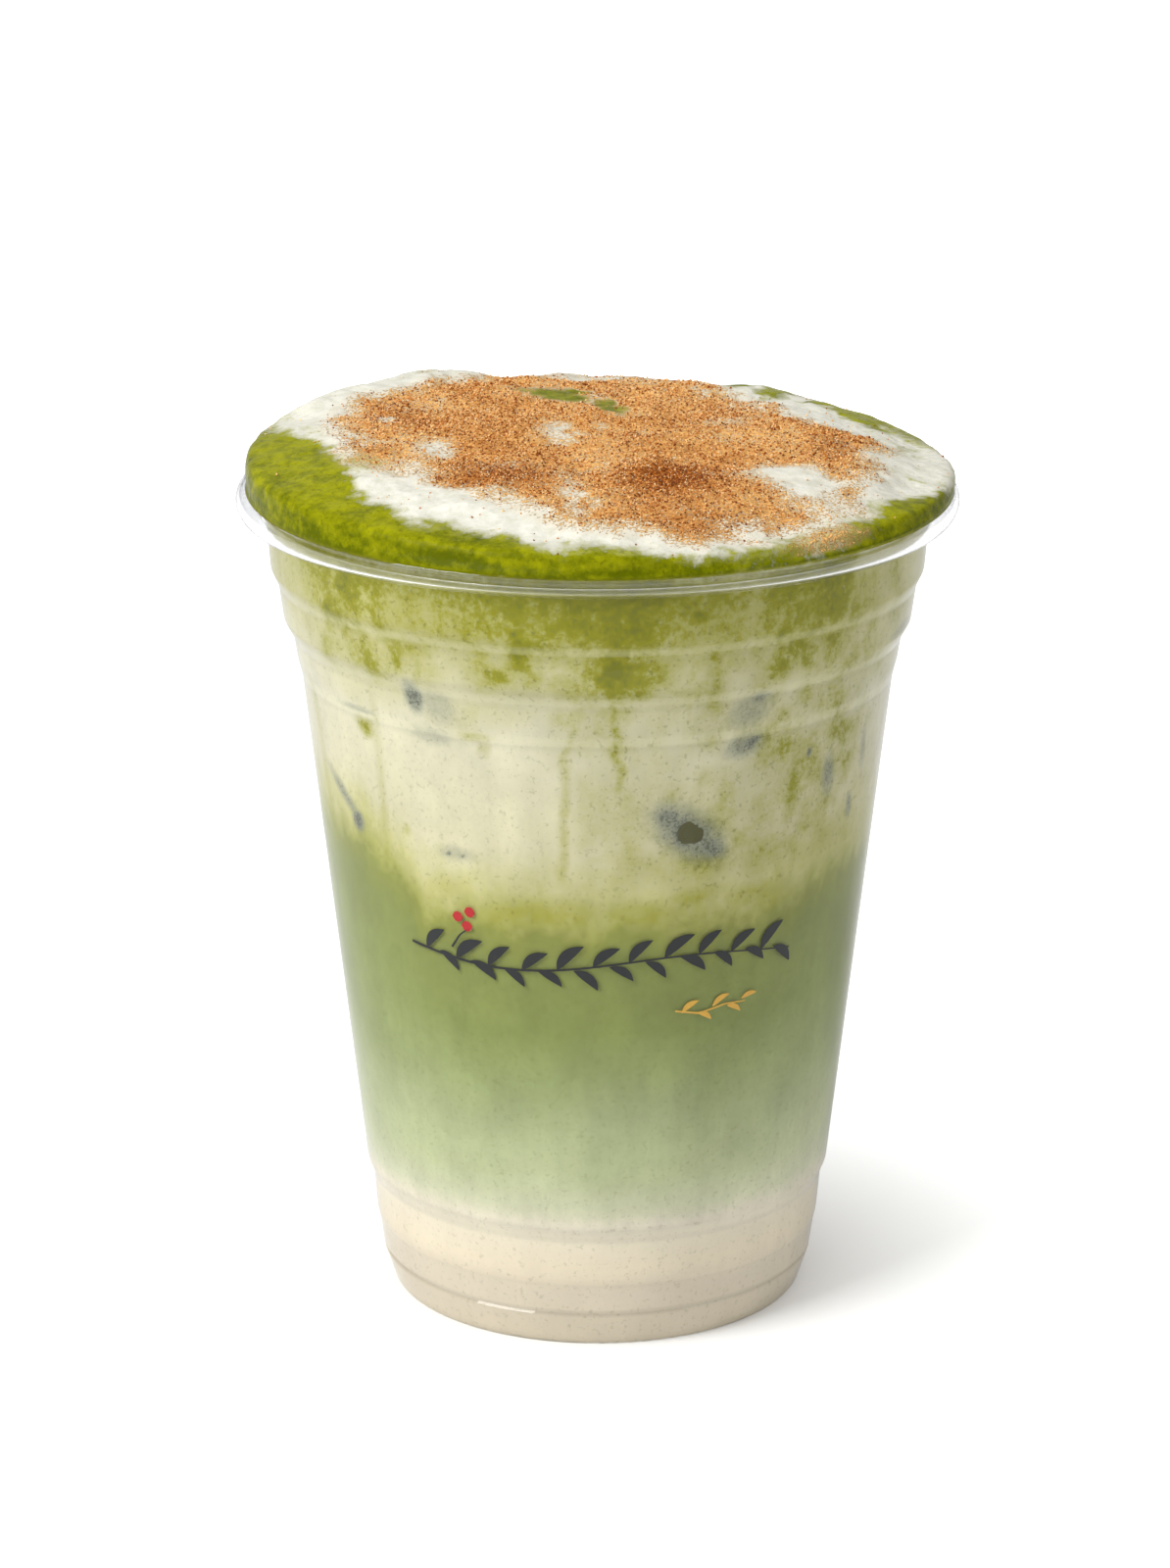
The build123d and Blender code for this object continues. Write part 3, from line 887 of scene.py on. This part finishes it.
# The stir mark carries the spoon's streaks and also painted light and painted shade on the roll of
# green: lighter above, darker underneath
stirred = reckon(tree, "MULTIPLY_ADD", marks["stir"], 0.55, froth_tone)
green_body = blend_colours(tree, stirred, colour(88, 96, 2), colour(152, 153, 10))
marbled = blend_colours(tree, green_mask, foam_white, green_body)
tea_grains = noise(tree, where, 1500.0, 3.0, 0.6)
tea = rescale(tree, tea_grains, 0.57, 0.7)
tea_share = reckon(tree, "MULTIPLY_ADD", green_mask, 0.5, 0.06)
speck_share = reckon(tree, "MULTIPLY", tea, tea_share)
specked = blend_colours(tree, speck_share, marbled, colour(84, 86, 4))
stained = rescale(tree, marks["dust"], 0.0, 0.55, 0.0, 0.6)
specked = blend_colours(tree, stained, specked, colour(244, 208, 152))
grain_tone = rescale(tree, sugar, 0.36, 0.64)
brown_pale = blend_colours(tree, grain_tone, colour(206, 130, 54), colour(255, 208, 132))
brown_deep = blend_colours(tree, grain_tone, colour(118, 56, 8), colour(192, 106, 32))
brown = blend_colours(tree, marks["pile"], brown_pale, brown_deep)
sugar_off = reckon(tree, "SUBTRACT", sugar, 0.5)
dust_line = reckon(tree, "MULTIPLY_ADD", sugar_off, 3.4, marks["dust"])
dusty = rescale(tree, marks["dust"], 0.01, 0.12)
dust_line = reckon(tree, "MULTIPLY", dust_line, dusty)
dust_mask = rescale(tree, dust_line, 0.3, 0.6)
dusted = blend_colours(tree, dust_mask, specked, brown)
wall_look = place(tree, "ShaderNodeGroup", node_tree=layered)
wall_look.inputs["Green Share"].default_value = 1.0
wall_look.inputs["Clouding"].default_value = 0.9
whole = blend_colours(tree, marks["under_rim"], dusted, wall_look.outputs["Color"])
wet_rough = rescale(tree, green_mask, 0.0, 1.0, 0.5, 0.18)
rough = reckon(tree, "MAXIMUM", wet_rough,
               reckon(tree, "MULTIPLY", dust_mask, 0.8))
pits = relief(tree, bubbles.outputs["Distance"], 0.3, 0.25 * mm)
soft = relief(tree, froth, 0.5, 0.35 * mm, pits)
grain_height = reckon(tree, "MULTIPLY", sugar, dust_mask)
gritty = relief(tree, grain_height, 0.9, 0.35 * mm, soft)
wet_line = reckon(tree, "MULTIPLY_ADD", froth_off, 1.2, marks["wet"])
wet_spots = rescale(tree, wet_line, 0.5, 0.8)
foam_body = place(tree, "ShaderNodeBsdfPrincipled",
                  {"Base Color": whole, "Roughness": rough, "Specular IOR Level": 0.03,
                   "Coat Weight": wet_spots, "Coat Roughness": 0.08,
                   "Coat IOR": 1.4, "Coat Normal": pits,
                   "Normal": gritty})
cover(tree, foam_body)
foam = new_piece("foam_cushion", foam_points, foam_faces, foam_marks, cap_look)
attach(foam, "root")
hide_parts("foam_cap")


# Dusting: loose grains of brown spice on the foam, with pale sugar crystals among them.
# They lie as they fell, thick in the piles and scattered past the edge of the dusting.
grain_count = 19500
crystal_count = 2000
corner_shape = np.array([(1, 0, 0), (-1, 0, 0), (0, 1, 0), (0, -1, 0), (0, 0, 1), (0, 0, -1)])
corner_faces = np.array([(0, 2, 4), (2, 1, 4), (1, 3, 4), (3, 0, 4),
                         (2, 0, 5), (1, 2, 5), (3, 1, 5), (0, 3, 5)])


def scatter(name, count, chance, smallest, largest, darkness, finish):
    """Loose grains on the cap, where chance says, as one joined piece."""
    chosen = rng.choice(len(cap_points), count, p=chance / chance.sum())
    middle = cap_points[chosen] + rng.uniform(-0.22, 0.22, (count, 3)) * [mm, mm, 0]
    size = rng.uniform(smallest, largest, (count, 1, 1)) / 2 * mm
    stretch = rng.uniform(0.65, 1.2, (count, 6, 1)) * rng.uniform(0.6, 1.2, (count, 1, 3))
    yaw = rng.uniform(0, 2 * math.pi, count)
    lean = rng.uniform(-0.9, 0.9, count)
    shape = corner_shape * size * stretch
    x = shape[..., 0] * np.cos(lean)[:, None] + shape[..., 2] * np.sin(lean)[:, None]
    z = shape[..., 2] * np.cos(lean)[:, None] - shape[..., 0] * np.sin(lean)[:, None]
    y = shape[..., 1]
    turned = np.stack([x * np.cos(yaw)[:, None] - y * np.sin(yaw)[:, None],
                       x * np.sin(yaw)[:, None] + y * np.cos(yaw)[:, None], z], -1)
    middle[:, 2] += 0.35 * size[:, 0, 0]
    points = (middle[:, None, :] + turned).reshape(-1, 3)
    faces = (np.arange(count)[:, None, None] * 6 + corner_faces).reshape(-1, 3).tolist()
    tone = np.repeat(rng.uniform(0.05, 1.2, count) - darkness * cap_pile[chosen], 6)
    grains = new_piece(name, points, faces, {"tone": tone}, finish)
    grains.data.polygons.foreach_set("use_smooth", [False] * len(grains.data.polygons))
    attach(grains, "root")
    return grains


spice_look, tree = new_finish("brown_spice")
where = place_in(tree)
tone = mark_on(tree, "tone")
tones = place(tree, "ShaderNodeValToRGB", {"Fac": tone})
fill_ramp(tones, [(0.0, colour(120, 60, 16)), (0.3, colour(168, 94, 34)),
                  (0.65, colour(222, 150, 74)), (1.0, colour(255, 212, 146))])
pitted = noise(tree, where, 6000.0)
shaded = rescale(tree, pitted, 0.0, 1.0, 0.8, 1.15)
spice_colour = scaled(tree, tones.outputs["Color"], shaded)
spice_body = place(tree, "ShaderNodeBsdfPrincipled",
                   {"Base Color": spice_colour, "Roughness": 0.75,
                    "Specular IOR Level": 0.2})
cover(tree, spice_body)
net_area = np.clip(1 - abs(share - 0.45), 0.2, 1) * (share < 0.9) * (1 - 0.85 * cap_green)
spice_chance = net_area * (ease(cap_dust, 0.05, 0.9) * (0.55 + 0.6 * cap_pile) + 0.012)
scatter("spice_grains", grain_count, spice_chance, 0.18, 0.42, 0.42, spice_look)

crystal_look, tree = new_finish("sugar_crystal")
where = place_in(tree)
# The crystals' colour is partly the sugar's own pale tone and partly painted glint: its light end stands
# in for light sparkling on them
glint = noise(tree, where, 3000.0)
painted_glint_colour = blend_colours(tree, glint, colour(236, 186, 116), colour(255, 232, 186))
crystal = place(tree, "ShaderNodeBsdfPrincipled",
                {"Base Color": painted_glint_colour, "Roughness": 0.3, "IOR": 1.45})
cover(tree, crystal)
scatter("sugar_crystals", crystal_count, spice_chance, 0.2, 0.4, 0.0, crystal_look)


# Print: a thin sprig in dark ink round the front of the cup, with three red berries and
# small gold leaves. The ink is screen printed on the outside of the plastic.
ink_lift = 0.06 * mm
plastic_thick = 0.5 * mm
print_radius = 35.5
degree_run = 0.62
print_points, print_faces, print_inks = [], [], []


def on_wall(across, height):
    """A point on the outside of the cup, from degrees off the front and mm of height."""
    radius = wall_radius(height * mm) - wall_reach + 0.2 * mm + plastic_thick + ink_lift
    turn = math.radians(across)
    return (radius * math.sin(turn), -radius * math.cos(turn), height * mm)


def print_strip(line, widths, ink):
    """A printed stroke along a line of (degrees, mm), with its half widths in mm."""
    line, widths = np.array(line, float), np.array(widths, float)
    stretch = np.array([math.radians(1) * print_radius, 1.0])
    run = np.concatenate([[0], np.cumsum(np.hypot(*(np.diff(line, axis=0) * stretch).T))])
    steps = np.linspace(0, run[-1], max(6, round(run[-1] / 0.4)))
    middle = np.stack([np.interp(steps, run, line[:, 0]), np.interp(steps, run, line[:, 1])], -1)
    middle = middle * stretch
    half = np.interp(steps, run, widths)
    heading = np.gradient(middle, axis=0)
    heading /= np.linalg.norm(heading, axis=1, keepdims=True)
    side = np.stack([-heading[:, 1], heading[:, 0]], -1)
    for n in range(len(steps)):
        for place_over in np.linspace(-1, 1, 5):
            at = (middle[n] + side[n] * half[n] * place_over) / stretch
            print_points.append(on_wall(*at))
    start = len(print_points) - 5 * len(steps)
    for n in range(len(steps) - 1):
        for m in range(4):
            low = start + 5 * n + m
            print_faces.append((low, low + 5, low + 6, low + 1))
            print_inks.append(ink)


def leaf(at, length, lean, ink, fullness=0.24):
    """One printed leaf from its stalk."""
    turn = math.radians(lean)
    steps = np.linspace(0, 1, 9)
    bend = 0.12 * np.sin(steps * math.pi)
    along = length * steps
    line = [(at[0] + (a * math.cos(turn) - length * b * math.sin(turn)) / degree_run,
             at[1] + a * math.sin(turn) + length * b * math.cos(turn))
            for a, b in zip(along, bend)]
    widths = fullness * length * np.sin(np.clip(steps * 1.02, 0, 1) * math.pi) ** 0.8 + 0.05
    print_strip(line, widths, ink)


def berry(at, radius, ink):
    """One printed round berry."""
    steps = np.linspace(-0.995, 0.995, 15)
    line = [(at[0] + radius * step / degree_run, at[1]) for step in steps]
    print_strip(line, radius * np.sqrt(1 - steps * steps), ink)


stem_angles = np.linspace(-42, 44, 60)
stem_heights = 57.6 + 1.1 * np.sin(np.radians(stem_angles * 4.6)) - 0.006 * stem_angles
print_strip(list(zip(stem_angles, stem_heights)), 0.1 + 0.1 * np.linspace(1, 0, 60), 0)
for number, at_angle in enumerate(np.arange(-38, 42, 7.4)):
    at_height = float(np.interp(at_angle, stem_angles, stem_heights))
    length = 4.9 - 0.6 * abs(number % 3 - 1)
    leaf((at_angle, at_height), length, 46 - number % 2 * 8, 0, 0.15)
    leaf((at_angle + 3.4, at_height), length * 0.85, -42 + number % 2 * 8, 0, 0.15)
for at_angle, at_height in ((-29.6, 63.2), (-26.8, 64.1), (-27.6, 62.0)):
    berry((at_angle, at_height), 0.75, 1)
print_strip([(-31.5, 58.6), (-29.4, 60.6), (-27.4, 61.6)], [0.16, 0.12, 0.1], 0)
for at_angle, at_height, length, lean in ((18, 50.2, 2.8, 34), (21.5, 50.0, 2.4, -30),
                                          (25, 50.6, 2.8, 32), (28.5, 50.4, 2.4, -28),
                                          (32, 51.0, 2.4, 12)):
    leaf((at_angle, at_height), length, lean, 2, 0.14)
print_strip([(16.5, 50.6), (22, 49.9), (28, 50.7), (33, 50.6)], [0.12, 0.14, 0.12, 0.08], 2)

inks = []
for name, paint, shine in (("charcoal_ink", colour(24, 27, 29), 0.35),
                           ("red_ink", colour(176, 22, 28), 0.35),
                           ("gold_ink", colour(212, 164, 62), 0.3)):
    ink, tree = new_finish(name)
    where = place_in(tree)
    mesh_marks = noise(tree, where, 2500.0)
    worn = rescale(tree, mesh_marks, 0.0, 1.0, 0.85, 1.15)
    inked = scaled(tree, paint[:3], worn)
    ink_rough = rescale(tree, mesh_marks, 0.0, 1.0, shine - 0.05, shine + 0.1)
    ink_body = place(tree, "ShaderNodeBsdfPrincipled",
                     {"Base Color": inked, "Roughness": ink_rough})
    cover(tree, ink_body)
    inks.append(ink)
sprig = new_piece("printed_sprig", np.array(print_points), print_faces, {}, inks[0])
sprig.data.materials.append(inks[1])
sprig.data.materials.append(inks[2])
sprig.data.polygons.foreach_set("material_index", print_inks)
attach(sprig, "root")


# Table and light: a white table and room, one big soft lamp at the upper left in front, a
# weak one on the right and another overhead. Gloss sees a darker room with a white band
# low in front, and the front of the table brighter than white.
floor_mesh = bpy.data.meshes.new("table_top")
reach = 4.0
floor_mesh.from_pydata([(-reach, -reach, 0), (reach, -reach, 0), (reach, reach, 0),
                        (-reach, reach, 0)], [], [(0, 1, 2, 3)])
table = bpy.data.objects.new("table_top", floor_mesh)
bpy.context.scene.collection.objects.link(table)
table_look, tree = new_finish("white_table")
path = place(tree, "ShaderNodeLightPath")
seen = reckon(tree, "MAXIMUM", path.outputs["Is Camera Ray"], path.outputs["Is Transmission Ray"])
paint = place(tree, "ShaderNodeBsdfDiffuse", {"Color": (0.86, 0.86, 0.86, 1.0)})
where = place_in(tree)
away = place(tree, "ShaderNodeVectorMath", {0: where}, operation="LENGTH")
# Painted light on the table: a glow for camera and transmission rays, weak next to the cup and strong
# from about 6 cm out, cuts the cup's cast shadow short
shadow_trimming_glow = rescale(tree, away.outputs["Value"], 0.028, 0.062, 0.12, 0.56)
far_glow = rescale(tree, away.outputs["Value"], 0.1, 1.0, 0.0, 0.8)
lift = reckon(tree, "ADD", shadow_trimming_glow, far_glow)
sides = place(tree, "ShaderNodeSeparateXYZ", {"Vector": where})
card = rescale(tree, sides.outputs["Y"], -0.34, -0.28, 0.8, 0.0)
shine = reckon(tree, "MULTIPLY", path.outputs["Is Glossy Ray"], card)
lit = reckon(tree, "MULTIPLY_ADD", seen, lift, shine)
glow = place(tree, "ShaderNodeEmission", {"Color": (1.0, 1.0, 1.0, 1.0), "Strength": lit})
total = place(tree, "ShaderNodeAddShader", {0: paint.outputs[0], 1: glow.outputs[0]})
cover(tree, total)
floor_mesh.materials.append(table_look)

world = bpy.data.worlds.new("white_studio")
world.use_nodes = True
world.node_tree.nodes.clear()
tree = world.node_tree
path = place(tree, "ShaderNodeLightPath")
seen = reckon(tree, "MAXIMUM", path.outputs["Is Camera Ray"],
              reckon(tree, "MULTIPLY", path.outputs["Is Transmission Ray"], 0.9))
level = rescale(tree, seen, 0.0, 1.0, 0.45)
bearing = place(tree, "ShaderNodeTexCoord").outputs["Generated"]
parts = place(tree, "ShaderNodeSeparateXYZ", {"Vector": bearing})
room = place(tree, "ShaderNodeMapRange",
             {"Value": parts.outputs["Y"], "From Min": -0.5, "From Max": 0.3,
              "To Min": 0.08, "To Max": 0.38}, interpolation_type="SMOOTHSTEP")
over = rescale(tree, parts.outputs["Z"], -0.02, 0.02)
under = rescale(tree, parts.outputs["Z"], 0.4, 0.5, 1.0, 0.0)
ahead = rescale(tree, parts.outputs["Y"], -0.5, 0.0, 0.9, 0.0)
band = reckon(tree, "MULTIPLY", over, under)
strip = reckon(tree, "MULTIPLY_ADD", band, ahead, room.outputs[0])
strength = place(tree, "ShaderNodeMix",
                 {0: path.outputs["Is Glossy Ray"], 2: level, 3: strip})
sky = place(tree, "ShaderNodeBackground",
            {"Color": (1.0, 1.0, 1.0, 1.0), "Strength": strength.outputs[0]})
place(tree, "ShaderNodeOutputWorld", {"Surface": sky.outputs[0]})
bpy.context.scene.world = world


cup_middle = (0, 0, 0.07)


def soft_lamp(name, at, size, watts):
    """A square soft lamp that faces the middle of the cup."""
    lamp = bpy.data.lights.new(name, "AREA")
    lamp.size = size
    lamp.energy = watts
    holder = bpy.data.objects.new(name, lamp)
    holder.location = at
    aim = np.array(cup_middle) - np.array(at)
    flat = math.hypot(aim[0], aim[1])
    holder.rotation_euler = (math.pi / 2 + math.atan2(aim[2], flat), 0,
                             math.atan2(aim[1], aim[0]) - math.pi / 2)
    bpy.context.scene.collection.objects.link(holder)


soft_lamp("key_lamp", (-0.85, -0.62, 0.98), 0.7, 17.5)
soft_lamp("side_lamp", (1.1, -0.5, 0.6), 0.6, 1.5)
soft_lamp("top_lamp", (0.2, 0.3, 1.3), 0.8, 2.0)

view = bpy.data.cameras.new("view")
view.lens = 116.57
view.sensor_width = 36.0
camera = bpy.data.objects.new("view", view)
camera.location = (-0.0017, -0.6691, 0.2779)
camera.rotation_euler = (math.radians(72.853), 0, 0)
bpy.context.scene.collection.objects.link(camera)
bpy.context.scene.camera = camera
bpy.context.scene.view_settings.view_transform = "Standard"
